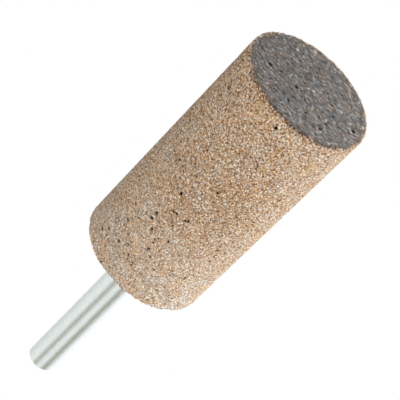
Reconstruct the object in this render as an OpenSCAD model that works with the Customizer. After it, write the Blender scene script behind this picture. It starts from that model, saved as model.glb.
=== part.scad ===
// Mounted point: an abrasive cylinder cemented onto a plain round steel shank.
// It stands on its flat working end with the shank up. Millimetres, +Z along the shank.

/* [Abrasive head] */

// Diameter of the head
head_d = 25.4; // [16:0.1:40]

// Length of the head along its axis
head_len = 50; // [34:0.5:90]

// Radius of the worn edge round the working end
tip_edge_r = 0.3; // [0.1:0.05:1.2]

// Radius of the worn edge round the shank end
rear_edge_r = 0.2; // [0.1:0.05:1.5]

/* [End coat] */

// Depth of the dark coat that soaks into the working end
coat_depth = 0.3; // [0.1:0.05:1]

/* [Shank] */

// Diameter of the shank
shank_d = 6; // [3:0.1:10]

// Length of shank that stands out of the head
shank_out = 37; // [20:0.5:80]

// Length of shank buried in the head
shank_in = 28; // [14:0.5:42]

// Width of the chamfer at both ends of the shank
shank_chamfer = 0.5; // [0.1:0.05:1.2]

/* [Keying grooves] */

// Number of grooves round the buried shank
groove_count = 5; // [1:1:7]

// Width of each groove at the surface of the shank
groove_w = 1.4; // [0.8:0.1:2.6]

// Depth of each groove
groove_depth = 0.35; // [0.1:0.05:0.4]

/* [Cement] */

// Thickness of cement round the buried shank
cement_gap = 0.4; // [0.15:0.05:1.5]

// Thickness of cement under the buried end of the shank
cement_floor = 1; // [0.3:0.1:4]

/* [Hidden] */

$fn = 128;

// Radii of the round surfaces
head_r = head_d / 2;
coat_r = head_r - tip_edge_r;
shank_r = shank_d / 2;
bore_r = shank_r + cement_gap;

// Heights along the axis
shank_base = head_len - shank_in;
shank_top = head_len + shank_out;
bore_floor = shank_base - cement_floor;

// Grooves are spaced evenly from the mouth of the bore to the buried end
groove_pitch = shank_in / groove_count;

// Points of one groove on the outline of the shank, upward, ending at height z
function groove(z) = [
    [shank_r, z - groove_w],
    [shank_r - groove_depth, z - groove_w + groove_depth],
    [shank_r - groove_depth, z - groove_depth],
    [shank_r, z]
];

// Half outline of the shank, from the buried end up to the free end
shank_outline = [
    [0, shank_base],
    [shank_r - shank_chamfer, shank_base],
    [shank_r, shank_base + shank_chamfer],
    for (i = [groove_count - 1 : -1 : 0]) each groove(head_len - i * groove_pitch),
    [shank_r, shank_top - shank_chamfer],
    [shank_r - shank_chamfer, shank_top],
    [0, shank_top]
];

// Half section of the plain head: a bar with a worn round edge at each end
module head_section() {
    translate([0, tip_edge_r])
        square([head_r, head_len - tip_edge_r - rear_edge_r]);
    square([head_r - tip_edge_r, head_len / 2]);
    translate([0, head_len / 2])
        square([head_r - rear_edge_r, head_len / 2]);
    translate([head_r - tip_edge_r, tip_edge_r])
        circle(r = tip_edge_r);
    translate([head_r - rear_edge_r, head_len - rear_edge_r])
        circle(r = rear_edge_r);
}

// Blind bore, open at the shank end of the head
module bore() {
    translate([0, 0, bore_floor])
        cylinder(r = bore_r, h = head_len - bore_floor);
}

// Volume that the coat soaks into
module coat_bed() {
    cylinder(r = coat_r, h = coat_depth);
}

// Turned rod: chamfered ends, grooves on the buried stretch
module shank_rod() {
    rotate_extrude()
        polygon(shank_outline);
}

module abrasive_head() {
    color([0.72, 0.61, 0.5])
        difference() {
            rotate_extrude()
                head_section();
            bore();
            coat_bed();
        }
}

module end_coat() {
    color([0.45, 0.44, 0.43])
        coat_bed();
}

module shank_cement() {
    color([0.66, 0.64, 0.6])
        difference() {
            bore();
            shank_rod();
        }
}

module steel_shank() {
    color([0.8, 0.81, 0.8])
        shank_rod();
}

abrasive_head();
end_coat();
shank_cement();
steel_shank();
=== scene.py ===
import math

import bpy
import numpy as np
from mathutils import Matrix, Vector
from mathutils.geometry import delaunay_2d_cdt


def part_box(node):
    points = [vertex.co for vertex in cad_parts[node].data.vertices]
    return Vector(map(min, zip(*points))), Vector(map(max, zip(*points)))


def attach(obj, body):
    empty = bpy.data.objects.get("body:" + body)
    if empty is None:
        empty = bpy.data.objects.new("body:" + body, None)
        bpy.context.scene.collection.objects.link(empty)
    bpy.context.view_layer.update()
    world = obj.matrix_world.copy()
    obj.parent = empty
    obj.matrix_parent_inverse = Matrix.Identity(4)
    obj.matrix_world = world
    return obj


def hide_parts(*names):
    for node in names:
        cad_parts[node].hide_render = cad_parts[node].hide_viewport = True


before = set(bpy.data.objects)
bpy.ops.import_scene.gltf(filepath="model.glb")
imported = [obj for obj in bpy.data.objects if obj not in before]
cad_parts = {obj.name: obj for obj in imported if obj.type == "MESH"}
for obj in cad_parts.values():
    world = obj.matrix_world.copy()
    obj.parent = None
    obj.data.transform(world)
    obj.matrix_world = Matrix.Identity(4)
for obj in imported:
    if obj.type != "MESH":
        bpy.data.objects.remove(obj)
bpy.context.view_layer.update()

MM = 0.001
TURN = 2 * math.pi
RIGHT_ANGLE = math.pi / 2
SEED = 46
rng = np.random.default_rng(SEED)

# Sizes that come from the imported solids. Those of the object are in millimetres throughout.
head_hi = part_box("abrasive_head")[1] / MM
coat_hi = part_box("end_coat")[1] / MM
bore_lo, bore_hi = (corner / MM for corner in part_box("shank_cement"))
shank_lo, shank_hi = (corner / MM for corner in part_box("steel_shank"))
HEAD_R, HEAD_LEN = head_hi.x, head_hi.z
TIP_EDGE = HEAD_R - coat_hi.x
BORE_R, BORE_FLOOR = bore_hi.x, bore_lo.z
SHANK_R, SHANK_BASE, SHANK_TOP = shank_hi.x, shank_lo.z, shank_hi.z

# Sizes that the boxes of the solids don't show, as in the part's source
REAR_EDGE = 0.2
SHANK_CHAMFER = 0.5
GROOVE_COUNT, GROOVE_W, GROOVE_DEPTH = 5, 1.4, 0.35

# Facets of the abrasive: size in millimetres, unevenness as a share of their spacing, fewest in a row
FACET = 0.246
JITTER = 0.42
FEWEST = 6

# The plane on which facets are joined: where its scale starts, its steps, the distance that merges points
PLANE_START, PLANE_STEPS, PLANE_MERGE = FACET / 8, 40000, 1e-7

# Depth of the gaps between grains on the side and on the coat, and of the coat itself
RELIEF = 0.15
COAT_RELIEF = 0.08
COAT_DEPTH = 0.12

# Powers that level the trued tops of the grains and the pools of the coat
TOPS_POWER, POOL_POWER = 1.4, 0.25

# The pores that show most: height along the head, degrees round it from the front, radius, darkness of their
# painted shade
PORE_DEPTH = 0.4
PORES = (
    (2.7, -3, 0.4, 0.9),
    (10.7, -14, 0.24, 0.45),
    (16.1, 22, 0.23, 0.65),
    (20.3, -6, 0.25, 1.4),
    (22.4, 36, 0.27, 1.0),
    (22.5, 29, 0.26, 0.9),
    (25.9, 14, 0.33, 1.3),
    (29.5, 5, 0.3, 0.85),
    (29.7, 8, 0.3, 0.85),
    (29.3, -4, 0.34, 1.1),
    (32.7, 17, 0.4, 0.65),
    (34.2, 17, 0.4, 1.05),
    (35.7, 10, 0.32, 0.85),
    (35.1, -6, 0.34, 0.65),
    (39.0, 1, 0.38, 0.7),
    (43.5, 9, 0.34, 0.6),
    (43.8, 2, 0.33, 0.55),
    (43.4, 24, 0.33, 0.9),
    (39.2, 32, 0.33, 0.95),
    (40.5, 31, 0.3, 0.6),
    (40.6, 22, 0.3, 0.45),
    (42.0, 16, 0.3, 0.5),
    (44.4, 40, 0.31, 0.8),
    (45.8, -29, 0.3, 0.65),
    (46.0, 45, 0.38, 0.85),
)

# Pits in the working end: right, back, radius, darkness of their painted shade
PIT_DEPTH = 0.15
PITS = (
    (1.7, -2.4, 0.46, 1.05),
    (7.5, -3.4, 0.56, 0.7),
    (1.3, -7.5, 0.34, 0.9),
    (-2.4, -6.4, 0.34, 0.95),
    (-5.9, -7.1, 0.4, 0.95),
    (-10.5, 0.1, 0.46, 1.1),
    (-6.1, -4.5, 0.42, 0.7),
    (-0.9, -3.6, 0.34, 0.85),
    (-4.6, 1.3, 0.36, 0.55),
)

# Fine pores and pits at random places: count, range of radius, depth, range of darkness of their painted
# shade
FINE_PORES = (150, (0.14, 0.24), 0.25, (0.5, 1))
FINE_PITS = (40, (0.16, 0.26), 0.12, (0.6, 1))

# The fine pores crowd towards the shank: share of the head that has them, power of their spacing
PORE_SPAN, PORE_CROWD = 0.95, 1.6

# Small breaks along both edges of the head: count, range of depth, range of radius, roughness of each edge
BREAK_COUNT = 90
BREAK_DEPTH, BREAK_RADIUS = (0.03, 0.14), (0.25, 0.7)
TIP_ROUGH, REAR_ROUGH = 1.0, 1.6

# The chip that shows in the far edge: degrees round from the front, radius, depth
CHIP = (129, 0.6, 0.3)

# Patches where the coat lies smooth: right, back, radius
POOLS = (
    (-6.2, -1.0, 0.9),
    (-0.7, 2.6, 0.8),
    (2.2, -9.0, 0.8),
)

# Pale crystals that show through the coat: right, back, radius, tone
CRYSTALS = (
    (6.2, 6.6, 0.2, 1.0),
    (9.6, -3.1, 0.2, 0.8),
    (-6.3, -7.7, 0.2, 0.8),
    (0.1, -0.1, 0.2, 0.75),
    (-0.8, 0.5, 0.2, 0.85),
    (-1.1, 1.5, 0.2, 0.75),
    (-1.7, 1.6, 0.2, 0.75),
    (-1.3, -0.1, 0.2, 0.85),
)

# Spots that the coat leaves bare: right, back, radius
BARE = ((3.9, 10.5, 0.35),)

# How far the coat runs past the flat of the end: degrees round from the front, distance
REACH = (
    (-90, -0.1),
    (-65, 0.48),
    (-40, 0.65),
    (0, 0.34),
    (40, 0.15),
    (75, 0.11),
    (130, -0.15),
    (180, -0.2),
    (270, -0.1),
)

# Raggedness of the coat's edge: waves round the head, their height, scatter, share of grains left bare
EDGE_WAVES, EDGE_WAVE_HEIGHT = (2, 3, 5, 8, 13), 0.04
EDGE_SCATTER = 0.11
BARE_SHARE = 0.001

# Grains past that edge that the coat has stained: distance past the flat, width, waves round the head,
# weight of nearness, scatter, the limit that their sum has to pass, and the share of them that is coated
SPILL_AT, SPILL_WIDTH = 0.25, 0.8
SPILL_WAVES = (9, 14, 23, 31)
SPILL_NEARNESS, SPILL_SCATTER, SPILL_LIMIT = 0.9, 0.22, 0.4
SPILL_SHARE = 0.75

# Stretches round the head: middle in degrees from the front, span. Each ends so many spans from its middle.
SPILL_SIDE, THIN_SIDE, STRIP_SIDE = (-15, 70), (0, 50), (15, 35)
STRETCH_END = 1.4

# Painted shade by relief, darker in the gaps between grains and in pores, with the stain of spilled grains:
# that of a trued top, its fall in the gaps of the side and the coat, in pores and in spills
TOP_SHADE = 0.9
GAP_FALL, COAT_GAP_FALL = 0.54, 0.25
PORE_FALL, SPILL_FALL = 3.4, 1.2

# Tone of the grains, from 0 for dark to 1 for white: mean, spread by grain, spread by facet on the side and
# on the coat, rise from end to end, and further rise in the half by the shank
TONE, TONE_SPREAD = 0.545, 0.07
OWN_TONE, COAT_OWN_TONE = 0.17, 0.06
TONE_RISE, TONE_FURTHER = 0.07, 0.045

# Warmth of the grains, from 0 for cool to 1 for warm, in the same order, with its fall from end to end
WARM, WARM_SPREAD = 0.51, 0.22
OWN_WARM, COAT_OWN_WARM = 0.27, 0.4
WARM_FALL = 0.22

# Contrast between grains: in the middle of the head, and its fall from end to end
VIVID, VIVID_FALL = 0.82, 0.36

# A broad patch of the side that is darker and warmer: height, degrees round from the front, radius
DULL_PATCH = (23, -15, 13.5)
DULL_DARKER, DULL_WARMER = 0.07, 0.05

# Bare grains that the coat has stained are darker and cooler
SPILL_DARKER, SPILL_COOLER = 0.3, 0.25

# The coat is darker where it thins by the near edge, and warmer there and on stained grains: distance
# before the flat ends, width
THIN_BEFORE, THIN_WIDTH = 0.75, 0.3
THIN_DARKER, THIN_WARMER = 0.07, 0.5

# The coat is paler along its edge and the bare grains beside it darker, a little also over a broader strip
FADE_WIDTH, COAT_FADE, BARE_FADE = 0.35, 0.1, -0.25
STRIP_WIDTH, STRIP_DARKER = 1.6, 0.1

# The whole coat is a little paler, and has a painted shade that darkens it to the right, on the side away
# from the light, by so much a millimetre
COAT_PALER, COAT_SHADE_SLOPE = 0.045, 0.006

# Tone and warmth of the pools, and the plain grain and painted shade of the bore
POOL_TONE, POOL_WARM = 0.45, 0.2
PLAIN_GRAIN, PLAIN_SHADE = (0.5, 0.5, 0.5, 1.0), 0.5

# The head's sheet: its side unrolled, with both ends and the bore above it
HEAD_SHEET = 82.0
SIDE_AT, FRONT_AT, REAR_AT, BORE_AT = (1.0, 0.7), (13.5, 66.5), (41.0, 66.5), (55.5, 52.5)
BORE_END_SHARE = 0.85

# The coat's sheet: its top beside its bed
COAT_SHEET = 53.0
COAT_AT, BED_AT = (13.2, 13.2), (39.8, 13.2)

# Outline of the head, from the middle of the working end to the mouth of the bore: where the flat, the front
# edge, the side, the rear edge and the rear face end
FLAT_END, TIP_END, SIDE_END, REAR_END, FACE_END = np.cumsum((
    HEAD_R - TIP_EDGE,
    TIP_EDGE * RIGHT_ANGLE,
    HEAD_LEN - TIP_EDGE - REAR_EDGE,
    REAR_EDGE * RIGHT_ANGLE,
    HEAD_R - REAR_EDGE - BORE_R,
))


def outline(run):
    """Radius, height and outward normal of the head at a distance run along its outline."""
    run = np.asarray(run, float)
    tip = np.clip((run - FLAT_END) / TIP_EDGE, 0, RIGHT_ANGLE)
    rear = np.clip((run - SIDE_END) / REAR_EDGE, 0, RIGHT_ANGLE)
    part = [run < FLAT_END, run < TIP_END, run < SIDE_END, run < REAR_END]
    tip_r = FLAT_END + TIP_EDGE * np.sin(tip)
    tip_z = TIP_EDGE * (1 - np.cos(tip))
    rear_r = HEAD_R - REAR_EDGE * (1 - np.cos(rear))
    rear_z = HEAD_LEN - REAR_EDGE * (1 - np.sin(rear))
    r = np.select(part, [run, tip_r, HEAD_R, rear_r], FACE_END + BORE_R - run)
    z = np.select(part, [0, tip_z, TIP_EDGE + run - TIP_END, rear_z], HEAD_LEN)
    lean = np.select(part, [-RIGHT_ANGLE, tip - RIGHT_ANGLE, 0, rear], RIGHT_ANGLE)
    return r, z, np.cos(lean), np.sin(lean)


def place(run, angle):
    """Points on the head, and their outward normals."""
    r, z, out_r, out_z = outline(run)
    cosine, sine = np.cos(angle), np.sin(angle)
    at = np.stack([r * cosine, r * sine, z], 1)
    return at, np.stack([out_r * cosine, out_r * sine, out_z], 1)


def scatter():
    """Corners of the facets, in uneven rows: run along the outline, angle, and count in the last row."""
    step = FACET * math.sqrt(3) / 2
    rows = int(FACE_END / step)
    run, angle = [np.zeros(1)], [np.zeros(1)]
    for k in range(1, rows + 1):
        at = FACE_END * k / rows
        count = max(FEWEST, round(TURN * float(outline(at)[0]) / FACET))
        shake = rng.uniform(-JITTER, JITTER, (2, count)) * (k < rows)
        run.append(at + step * shake[0])
        angle.append((np.arange(count) + rng.uniform() + shake[1]) * TURN / count)
    return np.concatenate(run), np.concatenate(angle) % TURN, count


def join(run, angle):
    """Triangles between neighbours, with the head opened out on a plane in a way that keeps angles."""
    fine = np.linspace(PLANE_START, FACE_END, PLANE_STEPS)
    pull = 1 / outline(fine)[0]
    grow = np.concatenate([[0], np.cumsum((pull[1:] + pull[:-1]) / 2 * np.diff(fine))])
    far = np.where(run < fine[0], run, np.exp(np.interp(run, fine, grow)) * fine[0])
    flat = [Vector(p) for p in np.stack([far * np.cos(angle), far * np.sin(angle)], 1)]
    found = delaunay_2d_cdt(flat, [], [], 0, PLANE_MERGE)
    source = np.array([o[0] for o in found[3]])
    return source[np.array(found[2])]


def from_front(degrees):
    """Angle from the X axis of what lies that many degrees round from the front."""
    return math.radians(degrees) - RIGHT_ANGLE


def on_side(z, turn):
    """A place on the side of the head, at that height and angle."""
    return HEAD_R * math.cos(turn), HEAD_R * math.sin(turn), z


def dent(points, at, radius):
    """How far each point lies inside a round dent, from 0 at its rim to 1 in its middle."""
    return np.clip(1 - ((points - at) ** 2).sum(1) / radius**2, 0, 1)


def on_end(spots):
    """How far each point of the head lies inside one of the round spots on the working end."""
    return np.max([dent(base, (x, y, 0), r) for x, y, r in spots], 0)


def close(distance, width):
    """1 where the distance is 0, falling to 0 at that width."""
    return np.clip(1 - np.abs(distance) / width, 0, 1)


def facing(middle, span):
    """1 on a stretch round the head, falling to 0 at its ends."""
    return np.clip(STRETCH_END - np.abs(round_it - middle) / span, 0, 1)


def mesh_object(name, points, faces, smooth=False):
    """A piece made of triangles, from points in millimetres."""
    faces = np.asarray(faces, np.int32)
    mesh = bpy.data.meshes.new(name)
    mesh.vertices.add(len(points))
    mesh.vertices.foreach_set("co", (np.asarray(points) * MM).astype(np.float32).ravel())
    mesh.loops.add(faces.size)
    mesh.loops.foreach_set("vertex_index", faces.ravel())
    mesh.polygons.add(len(faces))
    mesh.polygons.foreach_set("loop_start", np.arange(0, faces.size, 3, dtype=np.int32))
    mesh.update(calc_edges=True)
    mesh.polygons.foreach_set("use_smooth", np.full(len(faces), smooth))
    ob = bpy.data.objects.new(name, mesh)
    bpy.context.collection.objects.link(ob)
    return ob


def attribute(ob, name, kind, domain, values):
    """A named value for each face or point of a piece."""
    layer = ob.data.attributes.new(name, kind, domain)
    field = "color" if kind == "FLOAT_COLOR" else "value"
    layer.data.foreach_set(field, np.asarray(values, np.float32).ravel())


def uv_map(ob, uv, sheet):
    """Lays the piece's faces out on a square sheet. Both are in millimetres."""
    layer = ob.data.uv_layers.new(name="OFBake")
    layer.uv.foreach_set("vector", (np.asarray(uv) / sheet).astype(np.float32).ravel())


def wrapped(turn):
    """Angles of each facet's corners, kept together where the facet crosses the seam."""
    return np.where(turn.max(1, keepdims=True) - turn > math.pi, turn + TURN, turn)


def piece(ob, node, look):
    """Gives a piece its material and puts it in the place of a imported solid."""
    ob.data.materials.append(look)
    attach(ob, "root")
    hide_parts(node)


# Facets of the whole head
run, angle, mouth = scatter()
faces = join(run, angle)
base, out = place(run, angle)
n_point, n_face = len(base), len(faces)
side = np.cross(base[faces[:, 1]] - base[faces[:, 0]], base[faces[:, 2]] - base[faces[:, 0]])
wrong = (side * out[faces].sum(1)).sum(1) < 0
faces[wrong] = faces[wrong][:, [0, 2, 1]]
on_flat = run < FLAT_END
round_it = np.degrees(angle + TURN / 2) % 360 - 90

# Pores and pits: place, radius, depth, darkness of their painted shade
hollows = [(on_side(z, from_front(d)), r, PORE_DEPTH, dark) for z, d, r, dark in PORES]
hollows += [((x, y, 0), r, PIT_DEPTH, dark) for x, y, r, dark in PITS]
count, radius, depth, dark = FINE_PORES
for _ in range(count):
    z = HEAD_LEN * (1 - PORE_SPAN * rng.uniform() ** PORE_CROWD)
    hollows.append((on_side(z, rng.uniform(0, TURN)), rng.uniform(*radius), depth, rng.uniform(*dark)))
count, radius, depth, dark = FINE_PITS
for _ in range(count):
    r, turn = HEAD_R * math.sqrt(rng.uniform()), rng.uniform(0, TURN)
    at = r * math.cos(turn), r * math.sin(turn), 0
    hollows.append((at, rng.uniform(*radius), depth, rng.uniform(*dark)))

# Relief: trued tops, gaps between grains, smooth pools, pores and broken edges
crystal = np.max([(dent(base, (x, y, 0), r) > 0) * shine for x, y, r, shine in CRYSTALS], 0)
lift = np.where(crystal > 0, 1, rng.uniform(size=n_point))
pool = on_end(POOLS) ** POOL_POWER
deep = np.where(on_flat, COAT_RELIEF, RELIEF) * (1 - lift) ** TOPS_POWER * (1 - pool)
# Darkness of the pores and pits, painted as shade on top of their real depth
pore = np.zeros(n_point)
for at, radius, depth, dark in hollows:
    centre = base[((base - at) ** 2).sum(1).argmin()]
    inside = dent(base, centre, radius)
    pore = np.maximum(pore, inside * dark)
    deep += depth * np.sqrt(inside)
for z, rough in ((0, TIP_ROUGH), (HEAD_LEN, REAR_ROUGH)):
    for _ in range(BREAK_COUNT):
        at = on_side(z, rng.uniform(0, TURN))
        deep += rough * rng.uniform(*BREAK_DEPTH) * dent(base, at, rng.uniform(*BREAK_RADIUS))
chip_at, chip_radius, chip_depth = CHIP
deep += chip_depth * dent(base, on_side(0, from_front(chip_at)), chip_radius)

# Grains that the coat has stained where it runs over the edge of the working end
along = sum(np.sin(k * angle + rng.uniform(0, TURN)) for k in SPILL_WAVES) / len(SPILL_WAVES)
near_side = facing(*SPILL_SIDE)
near_edge = close(run - FLAT_END - SPILL_AT, SPILL_WIDTH) * near_side
stained = along + SPILL_NEARNESS * near_edge + rng.normal(0, SPILL_SCATTER, n_point) > SPILL_LIMIT
spill = np.sqrt(near_edge) * stained
deep[-mouth:] = 0
points = base - out * deep[:, None]
# Painted shade: darker in the gaps between grains and in pores and pits. Spilled grains are also darkened by
# their stain.
painted_shade_and_stain = TOP_SHADE + np.where(on_flat, COAT_GAP_FALL, GAP_FALL) * (lift - TOP_SHADE) - PORE_FALL * pore
painted_shade_and_stain -= SPILL_FALL * spill * rng.uniform(size=n_point)

# The coat covers the working end up to a ragged edge. It runs over the near edge, stops short of the far one
# and leaves a few grains bare.
wave = sum(EDGE_WAVE_HEIGHT * np.sin(k * angle + rng.uniform(0, TURN)) for k in EDGE_WAVES)
reach = FLAT_END + np.interp(round_it, *zip(*REACH)) + wave
coated = run < reach + rng.normal(0, EDGE_SCATTER, n_point)
coated |= rng.uniform(size=n_point) < SPILL_SHARE * (spill > 0)
coated &= rng.uniform(size=n_point) > BARE_SHARE
coated &= on_end(BARE) == 0
necks = True
while np.any(necks):
    on_coat = coated[faces].all(1)
    sunk = coated.copy()
    sunk[faces[~on_coat]] = False
    on_coat &= sunk[faces].any(1)
    # An edge inside the coat with both ends on its rim is a neck of no thickness. The coat grows there.
    inner = np.sort(faces[on_coat][:, [[0, 1], [1, 2], [2, 0]]].reshape(-1, 2), 1)
    inner, uses = np.unique(inner[~sunk[inner].any(1)], axis=0, return_counts=True)
    necks = np.isin(faces, inner[uses > 1, 0]).any(1)
    coated[faces[necks]] = True
under = points.copy()
under[sunk] -= COAT_DEPTH * out[sunk]

# Lining of the blind bore
ring = np.arange(n_point - mouth, n_point)
ring = ring[np.argsort(angle[ring])]
after = np.roll(ring, -1)
low = n_point + np.arange(mouth)
low_after = np.roll(low, -1)
foot = points[ring].copy()
foot[:, 2] = BORE_FLOOR
middle = np.array([[0, 0, BORE_FLOOR]])
last = np.full(mouth, n_point + mouth)
lining = np.concatenate([
    np.stack([ring, after, low], 1),
    np.stack([after, low_after, low], 1),
    np.stack([low, low_after, last], 1),
])
head_points = np.concatenate([under, foot, middle])
head = mesh_object("grained_head", head_points, np.concatenate([faces, lining]))

# Tone and warmth: each grain has its own, and each facet differs a little from its highest grain
top = faces[np.arange(n_face), lift[faces].argmax(1)]
to_rear = base[:, 2] / HEAD_LEN - 0.5
dull_z, dull_at, dull_radius = DULL_PATCH
dull = dent(base, on_side(dull_z, from_front(dull_at)), dull_radius)
tone = rng.normal(TONE, TONE_SPREAD, n_point) + TONE_RISE * to_rear + TONE_FURTHER * np.maximum(to_rear, 0)
tone -= DULL_DARKER * dull
vivid = VIVID - VIVID_FALL * to_rear
warm = WARM + rng.normal(0, WARM_SPREAD, n_point) * vivid - WARM_FALL * to_rear
warm += DULL_WARMER * dull
vivid = vivid[top]
own_tone = tone[top] + rng.normal(0, 1, n_face) * np.where(on_coat, COAT_OWN_TONE, OWN_TONE) * vivid
own_tone -= SPILL_DARKER * spill[top] * ~on_coat * rng.uniform(size=n_face)
own_tone = np.where(crystal[top] > 0, crystal[top], own_tone)
own_warm = warm[top] + rng.normal(0, 1, n_face) * np.where(on_coat, COAT_OWN_WARM, OWN_WARM) * vivid

# How the edge of the coat changes them, and the pools
thin = np.clip((run + THIN_BEFORE - FLAT_END) / THIN_WIDTH, 0, 1) * facing(*THIN_SIDE)
fade = close(run - reach, FADE_WIDTH) * near_side
# A broader strip beside the coat's edge, where the bare grains are darker
dark_strip = close(run - reach, STRIP_WIDTH) * facing(*STRIP_SIDE)
own_tone += np.where(on_coat, COAT_FADE, BARE_FADE) * fade[top]
own_tone -= STRIP_DARKER * dark_strip[top] * ~on_coat
# The coat's painted shade: darker to the right, away from the light
own_tone -= (THIN_DARKER * thin[top] + COAT_SHADE_SLOPE * base[top, 0] - COAT_PALER) * on_coat
own_warm += np.where(on_coat, THIN_WARMER * np.maximum(thin, spill)[top], -SPILL_COOLER * spill[top])
calm = pool[faces].min(1)
own_tone += (POOL_TONE - own_tone) * calm
own_warm += (POOL_WARM - own_warm) * calm

# What the material reads: tone, warmth, a number for the roughness, contrast
grain = np.stack([own_tone, own_warm, rng.uniform(size=n_face), vivid * (1 - calm)], 1).clip(0, 1)
plain = np.tile(PLAIN_GRAIN, (len(lining), 1))
attribute(head, "grain", "FLOAT_COLOR", "FACE", np.concatenate([grain, plain]))
attribute(head, "painted_shade_and_stain", "FLOAT", "POINT", np.concatenate([painted_shade_and_stain, np.full(mouth + 1, PLAIN_SHADE)]))

# The head's faces on its sheet
flat = base[faces][:, :, :2]
unrolled = np.stack([HEAD_R * wrapped(angle[faces]), run[faces] - FLAT_END], 2)
way = run[faces].mean(1)[:, None, None]
head_uv = np.select([way < FLAT_END, way < REAR_END], [flat + FRONT_AT, unrolled + SIDE_AT], flat + REAR_AT)
bore = head_points[lining]
bore_turn = wrapped(np.arctan2(bore[:, :, 1], bore[:, :, 0]) % TURN)
bore_side = np.stack([BORE_R * bore_turn, bore[:, :, 2] - BORE_FLOOR], 2) + BORE_AT
bore_end = BORE_END_SHARE * bore[:, :, :2] + REAR_AT
on_floor = (bore[:, :, 2] == BORE_FLOOR).all(1)[:, None, None]
uv_map(head, np.concatenate([head_uv, np.where(on_floor, bore_end, bore_side)]), HEAD_SHEET)

# The coat, closed by the bed that it lies in
used, kept = np.unique(faces[on_coat], return_inverse=True)
kept = kept.reshape(-1, 3)
below = np.arange(len(used))
below[sunk[used]] = len(used) + np.arange(sunk[used].sum())
bed = below[kept][:, ::-1]
coat_points = np.concatenate([points[used], under[used][sunk[used]]])
coat = mesh_object("dark_end_coat", coat_points, np.concatenate([kept, bed]))
attribute(coat, "grain", "FLOAT_COLOR", "FACE", np.tile(grain[on_coat], (2, 1)))
attribute(coat, "painted_shade_and_stain", "FLOAT", "POINT", np.concatenate([painted_shade_and_stain[used], painted_shade_and_stain[used][sunk[used]]]))
flat = coat_points[:, :2]
uv_map(coat, np.concatenate([flat[kept] + COAT_AT, flat[bed] + BED_AT]), COAT_SHEET)


class Graph:
    """Short ways to build a node tree."""

    def __init__(self, tree):
        self.tree = tree

    def add(self, kind, feed=None, **settings):
        """A node with its inputs set to values or linked to other nodes' outputs."""
        made = self.tree.nodes.new("ShaderNode" + kind)
        for key, value in settings.items():
            setattr(made, key, value)
        for key, value in (feed or {}).items():
            self.feed(made, key, value)
        return made

    def feed(self, made, key, value):
        """Sets one input of a node, or links it."""
        if isinstance(value, bpy.types.NodeSocket):
            self.tree.links.new(value, made.inputs[key])
        else:
            made.inputs[key].default_value = value

    def math(self, operation, a, b):
        return self.add("Math", {0: a, 1: b}, operation=operation).outputs[0]

    def spread(self, value, start, end, low, high):
        """A value brought from one range into another."""
        feed = {"Value": value, "From Min": start, "From Max": end, "To Min": low, "To Max": high}
        return self.add("MapRange", feed).outputs["Result"]

    def noise(self, scale, detail=2.0, stretch=(1, 1, 1), swirl=0.0):
        """Noise fixed to the object, in cycles per metre."""
        where = self.add("TexCoord").outputs["Object"]
        where = self.add("Mapping", {"Vector": where, "Scale": stretch}).outputs["Vector"]
        feed = {"Vector": where, "Scale": scale, "Detail": detail, "Distortion": swirl}
        return self.add("TexNoise", feed).outputs["Fac"]

    def ramp(self, value, stops):
        """A colour picked by a value from stops along a bar."""
        made = self.add("ValToRGB", {"Fac": value})
        bar = made.color_ramp
        while len(bar.elements) < len(stops):
            bar.elements.new(0.5)
        for element, (at, colour) in zip(bar.elements, stops):
            element.position = at
            element.color = (*colour, 1)
        return made.outputs["Color"]

    def bump(self, height, strength, distance):
        """Normals bent by a height, with the distance in millimetres."""
        feed = {"Height": height, "Strength": strength, "Distance": distance * MM}
        return self.add("Bump", feed).outputs["Normal"]


def linear(r, g, b):
    """A colour on the usual 0 to 255 scale as the shader reads it."""
    return tuple(c / 3294.6 if c <= 10 else ((c / 255 + 0.055) / 1.055) ** 2.4 for c in (r, g, b))


def material(name):
    """A material, the graph of its nodes and its main shader."""
    look = bpy.data.materials.new(name)
    look.use_nodes = True
    return look, Graph(look.node_tree), look.node_tree.nodes["Principled BSDF"]


# Ranges that nearly all of a noise lies in, and of the sum of two
NOISE, TWO_NOISES = (0.3, 0.7), (0.7, 1.3)

# Patterns in the grain, in cycles per metre
SPECK_SCALE, CELL_SCALE, MARK_SCALE = 9000, 2900, 4300
CLOUD_SCALE, BROAD_CLOUD_SCALE = 800, 230
MARK_STRETCH, MARK_SWIRL = (0.22, 1, 1), 0.4

# Cells: distance over which a core ends, distance over which the bond darkens, lots that make a cell pale
CORE, BOND, PALE_LOTS = (0.25, 0.6), (0.2, 0.9), (0.86, 0.9)

# Painted shade at the bottom of a pore and share of light there, roughness, gloss, strength and depth of the
# bumps
PORE_SHADE, PORE_LIGHT = -1.2, 0.03
GRAIN_ROUGH, GRAIN_GLOSS = (0.7, 0.9), 0.05
GRAIN_BUMP = (0.4, 0.03)


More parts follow.
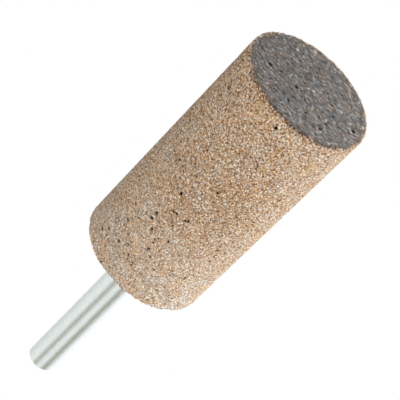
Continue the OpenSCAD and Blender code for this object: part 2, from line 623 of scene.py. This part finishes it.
def grain_look(name, tones, tints, speck, cells, pale, marks, clouds):
    """Grains that each have their own tone, with darker bond between, pale crystals and rubbed marks."""
    look, g, bsdf = material(name)
    grain = g.add("Attribute", attribute_name="grain")
    painted_shade_and_stain = g.add("Attribute", attribute_name="painted_shade_and_stain").outputs["Fac"]
    parts = g.add("SeparateColor", {"Color": grain.outputs["Color"]}).outputs
    own = g.spread(g.noise(SPECK_SCALE), *NOISE, -speck, speck)
    where = g.add("TexCoord").outputs["Object"]
    cell = g.add("TexVoronoi", {"Vector": where, "Scale": CELL_SCALE}).outputs
    lot = g.add("SeparateColor", {"Color": cell["Color"]}).outputs["Red"]
    core = g.spread(cell["Distance"], *CORE, 1, 0)
    shine = g.math("MULTIPLY", g.spread(lot, *PALE_LOTS, 0, pale), core)
    bond = g.spread(cell["Distance"], *BOND, cells, -cells)
    own = g.math("ADD", own, g.math("ADD", bond, shine))
    if marks:
        rubbed = g.noise(MARK_SCALE, detail=1.0, stretch=MARK_STRETCH, swirl=MARK_SWIRL)
        own = g.math("ADD", own, g.spread(rubbed, *NOISE, -marks, marks))
    own = g.math("MULTIPLY", own, grain.outputs["Alpha"])
    tone = g.ramp(g.math("ADD", parts["Red"], own), tones)
    cloud = g.math("ADD", g.noise(CLOUD_SCALE, detail=3.0), g.noise(BROAD_CLOUD_SCALE))
    patch = g.spread(cloud, *TWO_NOISES, -clouds, clouds)
    tint = g.ramp(g.math("ADD", parts["Green"], patch), tints)
    colour = g.add("VectorMath", {0: tone, 1: tint}, operation="MULTIPLY").outputs[0]
    # The painted shade of gaps, pores and pits, and the stain of spilled grains, darken the colour
    shade = g.spread(painted_shade_and_stain, PORE_SHADE, TOP_SHADE, PORE_LIGHT, 1.0)
    shaded = g.add("VectorMath", {0: colour, "Scale": shade}, operation="SCALE").outputs[0]
    g.feed(bsdf, "Base Color", shaded)
    g.feed(bsdf, "Roughness", g.spread(parts["Blue"], 0.0, 1.0, *GRAIN_ROUGH))
    g.feed(bsdf, "Specular IOR Level", GRAIN_GLOSS)
    g.feed(bsdf, "Normal", g.bump(g.noise(SPECK_SCALE), *GRAIN_BUMP))
    return look


abrasive = grain_look(
    "abrasive",
    (
        (0.0, linear(88, 64, 48)),
        (0.3, linear(162, 130, 106)),
        (0.5, linear(200, 170, 146)),
        (0.75, linear(230, 208, 188)),
        (1.0, linear(255, 250, 243)),
    ),
    (
        (0.0, (0.85, 0.95, 0.99)),
        (0.5, (0.995, 0.94, 0.865)),
        (1.0, (1.0, 0.81, 0.52)),
    ),
    speck=0.15,
    cells=0.3,
    pale=0.85,
    marks=0.0,
    clouds=0.25,
)
dark_coat = grain_look(
    "end_coat",
    (
        (0.0, linear(54, 52, 51)),
        (0.4, linear(109, 107, 107)),
        (0.7, linear(141, 140, 141)),
        (0.95, linear(163, 162, 160)),
        (1.0, linear(232, 228, 224)),
    ),
    (
        (0.0, (0.9, 0.985, 1.0)),
        (0.5, (0.98, 0.99, 1.0)),
        (0.8, (1.0, 0.9, 0.76)),
        (1.0, (1.0, 0.73, 0.57)),
    ),
    speck=0.18,
    cells=0.16,
    pale=0.0,
    marks=0.38,
    clouds=0.1,
)
piece(head, "abrasive_head", abrasive)
piece(coat, "end_coat", dark_coat)

# Steel shank: radius of its eased tip, faces round it, sharpest edge that is smooth, margin of its sheet
TIP_EASE = 0.25
SHANK_AROUND = 160
SMOOTH_UP_TO = math.radians(25)
MARGIN = 1


def eased(line, radius, steps=4):
    """An outline with its inner corners rounded."""
    line = [Vector(p) for p in line]
    done = [line[0]]
    for before, corner, after in zip(line, line[1:], line[2:]):
        to, on = (before - corner).normalized(), (after - corner).normalized()
        reach = radius / math.tan(to.angle(on) / 2)
        start, end = corner + to * reach, corner + on * reach
        for k in range(steps + 1):
            t = k / steps
            done.append(start.lerp(corner, t).lerp(corner.lerp(end, t), t))
    return done + [line[-1]]


def shank_outline():
    """Radius and height along the shank, from the middle of its buried end to the middle of its free end."""
    pitch = (HEAD_LEN - SHANK_BASE) / GROOVE_COUNT
    groove = ((0, GROOVE_W), (GROOVE_DEPTH, GROOVE_W - GROOVE_DEPTH), (GROOVE_DEPTH, GROOVE_DEPTH), (0, 0))
    line = [(0, SHANK_BASE), (SHANK_R - SHANK_CHAMFER, SHANK_BASE), (SHANK_R, SHANK_BASE + SHANK_CHAMFER)]
    for k in reversed(range(GROOVE_COUNT)):
        line += [(SHANK_R - d, HEAD_LEN - k * pitch - w) for d, w in groove]
    shoulder, end = (SHANK_R, SHANK_TOP - SHANK_CHAMFER), (SHANK_R - SHANK_CHAMFER, SHANK_TOP)
    tip = eased((line[-1], shoulder, end, (0, SHANK_TOP)), TIP_EASE)
    return np.array([tuple(p) for p in line + tip[1:]], float)


def turned(name, line, around):
    """A closed body of revolution whose outline starts and ends on the axis."""
    turn = np.arange(around) * TURN / around
    rings = [np.stack([r * np.cos(turn), r * np.sin(turn), np.full(around, z)], 1) for r, z in line[1:-1]]
    points = np.concatenate(rings + [[[0, 0, line[0][1]]], [[0, 0, line[-1][1]]]])
    first_hub, last_hub = len(points) - 2, len(points) - 1
    here = np.arange(around)
    there = np.roll(here, -1)
    faces = [np.stack([np.full(around, first_hub), there, here], 1)]
    for k in range(len(rings) - 1):
        a, b = k * around, (k + 1) * around
        faces.append(np.stack([a + here, a + there, b + there], 1))
        faces.append(np.stack([a + here, b + there, b + here], 1))
    a = (len(rings) - 1) * around
    faces.append(np.stack([a + here, a + there, np.full(around, last_hub)], 1))
    faces = np.concatenate(faces)
    ob = mesh_object(name, points, faces, True)
    ob.data.set_sharp_from_angle(angle=SMOOTH_UP_TO)
    # Its sheet: unrolled, with the ends drawn out as far as they reach
    way = np.concatenate([[0], np.cumsum(np.linalg.norm(np.diff(line, axis=0), axis=1))])
    along = np.concatenate([np.repeat(way[1:-1], around), way[[0, -1]]])[faces]
    round_it = wrapped(np.concatenate([np.tile(turn, len(rings)), [0, 0]])[faces])
    round_it = np.where(faces >= first_hub, (round_it.sum(1, keepdims=True) - round_it) / 2, round_it)
    uv_map(ob, np.stack([SHANK_R * round_it + MARGIN, along + MARGIN], 2), way[-1] + 2 * MARGIN)
    return ob


def steel_look():
    """Bright ground steel: fine marks round it and faint clouds of duller metal."""
    look, g, bsdf = material("steel")
    marks = g.noise(scale=1, detail=3.0, stretch=(300, 300, 16000))
    cloud = g.noise(scale=1100, detail=3.0)
    dull, bright = (0.715, 0.77, 0.762), (0.785, 0.84, 0.832)
    both, rough = (0.6, 1.4), (0.2, 0.28)
    g.feed(bsdf, "Metallic", 1.0)
    g.feed(bsdf, "Base Color", g.ramp(cloud, tuple(zip(NOISE, (dull, bright)))))
    g.feed(bsdf, "Roughness", g.spread(g.math("ADD", marks, cloud), *both, *rough))
    g.feed(bsdf, "Normal", g.bump(marks, strength=0.08, distance=0.01))
    return look


def cement_look():
    """Dull grey cement with fine sand in it."""
    look, g, bsdf = material("cement")
    sand = g.noise(scale=5000, detail=3.0)
    cloud = g.noise(scale=600, detail=3.0)
    sand_share, cloud_share = 0.6, 0.4
    rough = (0.75, 0.95)
    mixed = g.math("ADD", g.math("MULTIPLY", sand, sand_share), g.math("MULTIPLY", cloud, cloud_share))
    stops = ((0.3, linear(120, 115, 108)), (0.5, linear(172, 167, 158)), (0.7, linear(205, 201, 192)))
    g.feed(bsdf, "Base Color", g.ramp(mixed, stops))
    g.feed(bsdf, "Roughness", g.spread(sand, *NOISE, *rough))
    g.feed(bsdf, "Normal", g.bump(mixed, strength=0.6, distance=0.08))
    return look


piece(turned("ground_shank", shank_outline(), SHANK_AROUND), "steel_shank", steel_look())
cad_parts["shank_cement"].material_slots[0].material = cement_look()

# Camera at the photograph's angle: it looks up at the working end, turned on its side
LENS = 163.8
TARGET = Vector((-0.12, 0.0, 32.6)) * MM
DISTANCE = 329.0 * MM
LOOK_UP = math.radians(35.18)
ROLL = math.radians(135.14)

forward = Vector((0, math.cos(LOOK_UP), math.sin(LOOK_UP)))
level = Vector((1, 0, 0))
right = level * math.cos(ROLL) - level.cross(forward) * math.sin(ROLL)
up = right.cross(forward)
cam_data = bpy.data.cameras.new("camera")
cam_data.lens = LENS
cam = bpy.data.objects.new("camera", cam_data)
cam.matrix_world = Matrix((right, up, -forward)).transposed().to_4x4()
cam.location = TARGET - forward * DISTANCE
bpy.context.collection.objects.link(cam)
scene = bpy.context.scene
scene.camera = cam
scene.view_settings.view_transform = "Standard"


def heading(degrees):
    """Level direction at that many degrees round from the front."""
    turn = from_front(degrees)
    return Vector((math.cos(turn), math.sin(turn), 0))


def by_heading(g, coordinates, stops):
    """A colour that depends on the direction round the object, from stops at -90 to 270 degrees."""
    where = g.add("TexCoord").outputs[coordinates]
    turn = g.add("TexGradient", {"Vector": where}, gradient_type="RADIAL").outputs["Fac"]
    return g.ramp(turn, [((degrees + 90) / 360, colour) for degrees, colour in stops])


def seen(g):
    """1 for rays of sight, also by way of metal or glass."""
    path = g.add("LightPath").outputs
    mirror = g.math("MAXIMUM", path["Is Glossy Ray"], path["Is Transmission Ray"])
    return g.math("MAXIMUM", path["Is Camera Ray"], mirror)


# Studio: white for sight and reflections. The light for the rest changes round the object: degrees round
# from the front, brightness. What is brighter than 1 is cooler.
LIGHT = (
    (-90, 1.52),
    (-40, 0.34),
    (10, 1.1),
    (60, 0.46),
    (95, 0.08),
    (130, 0.15),
    (165, 0.6),
    (195, 0.4),
    (225, 0.4),
    (270, 1.52),
)
COOL_BRIGHT = (0.0, 0.19, 0.35)
world = bpy.data.worlds.new("studio")
scene.world = world
world.use_nodes = True
g = Graph(world.node_tree)
soft = world.node_tree.nodes["Background"]
stops = [(degrees, tuple(tone + cool * max(tone - 1, 0) for cool in COOL_BRIGHT)) for degrees, tone in LIGHT]
g.feed(soft, "Color", by_heading(g, "Generated", stops))
white = g.add("Background", {"Color": (1, 1, 1, 1)})
choose = g.add("MixShader", {"Fac": seen(g), 1: soft.outputs[0], 2: white.outputs[0]})
g.feed(world.node_tree.nodes["World Output"], "Surface", choose.outputs[0])

# Where the lamps stand and what they are aimed at, in metres
RIM_AT = heading(-115) * 0.65 + Vector((0, 0, 0.25))
UNDER_AT = Vector((0, -0.3, -0.6))
LAMP_AIM = Vector((0, 0, 0.04))


def lamp(name, at, size, level, colour):
    """A square lamp that lights a pale surface facing it to that level."""
    data = bpy.data.lights.new(name, "AREA")
    data.size = size
    data.color = colour
    data.energy = level * math.pi**2 * (at - LAMP_AIM).length ** 2
    ob = bpy.data.objects.new(name, data)
    ob.location = at
    ob.rotation_euler = (LAMP_AIM - at).to_track_quat("-Z", "Y").to_euler()
    ob.visible_glossy = False
    bpy.context.collection.objects.link(ob)


lamp("rim", RIM_AT, size=0.35, level=0.75, colour=(0.92, 1.0, 1.05))
lamp("under", UNDER_AT, size=0.4, level=0.37, colour=(1, 1, 1))


def stage_mesh(name, corners, faces, look):
    """A piece of the studio, which isn't part of the object."""
    mesh = bpy.data.meshes.new(name)
    mesh.from_pydata(corners, [], faces)
    mesh.materials.append(look)
    ob = bpy.data.objects.new(name, mesh)
    bpy.context.collection.objects.link(ob)
    return ob


# Directions to the corners of the round pieces of the studio
AROUND = 64
circle = [heading(360 * k / AROUND) for k in range(AROUND)]

# Soft grey bands round the object that only gloss shows: degrees round from the front, brightness
BANDS = (
    (-90, 0.66),
    (-75, 0.46),
    (-65, 0.38),
    (-55, 0.55),
    (-43, 0.92),
    (-31, 1.0),
    (-19, 1.0),
    (-3, 0.72),
    (11, 0.42),
    (25, 0.68),
    (40, 1.0),
    (60, 1.0),
    (100, 0.86),
    (125, 0.74),
    (145, 0.95),
    (158, 1.1),
    (170, 0.85),
    (182, 0.55),
    (196, 0.85),
    (210, 1.15),
    (225, 1.22),
    (240, 1.08),
    (252, 0.95),
    (262, 0.8),
    (270, 0.66),
)

# Radius and top of the bands in metres, and the powers that make their dark tones warmer
BAND_R, BAND_TOP = 0.16, 0.6
WARM_DARK = (0.94, 1.0, 1.2)

bands = bpy.data.materials.new("bands")
bands.use_nodes = True
g = Graph(bands.node_tree)
stops = [(degrees, tuple(tone**power for power in WARM_DARK)) for degrees, tone in BANDS]
glow = g.add("Emission", {"Color": by_heading(g, "Object", stops)})
g.feed(bands.node_tree.nodes["Material Output"], "Surface", glow.outputs[0])
wall = [tuple(d * BAND_R) for d in circle] + [tuple(d * BAND_R + Vector((0, 0, BAND_TOP))) for d in circle]
panels = [(k, (k + 1) % AROUND, (k + 1) % AROUND + AROUND, k + AROUND) for k in range(AROUND)]
surround = stage_mesh("surround", wall, panels, bands)
surround.visible_camera = surround.visible_diffuse = surround.visible_shadow = False

# Pale floor, seen from above only, that turns to the white of the studio further out: radius, and where it
# starts and ends to turn, in metres
FLOOR_R, FLOOR_NEAR, FLOOR_FAR = 0.8, 0.12, 0.7
FLOOR_Z = -0.1 * MM
FLOOR_COLOUR, FLOOR_ROUGH = (0.9, 0.9, 0.9, 1), 0.9
pale_floor, g, bsdf = material("floor")
g.feed(bsdf, "Base Color", FLOOR_COLOUR)
g.feed(bsdf, "Roughness", FLOOR_ROUGH)
far = g.add("VectorMath", {0: g.add("TexCoord").outputs["Object"]}, operation="LENGTH").outputs["Value"]
backface = g.add("NewGeometry").outputs["Backfacing"]
near = g.math("SUBTRACT", g.spread(far, FLOOR_NEAR, FLOOR_FAR, 1, 0), backface)
show = g.add("Math", {0: seen(g), 1: near}, operation="MULTIPLY", use_clamp=True).outputs[0]
clear = g.add("BsdfTransparent")
choose = g.add("MixShader", {"Fac": show, 1: clear.outputs[0], 2: bsdf.outputs[0]})
g.feed(pale_floor.node_tree.nodes["Material Output"], "Surface", choose.outputs[0])
rim = [tuple(d * FLOOR_R + Vector((0, 0, FLOOR_Z))) for d in circle]
stage_mesh("floor", rim, [range(AROUND)], pale_floor)
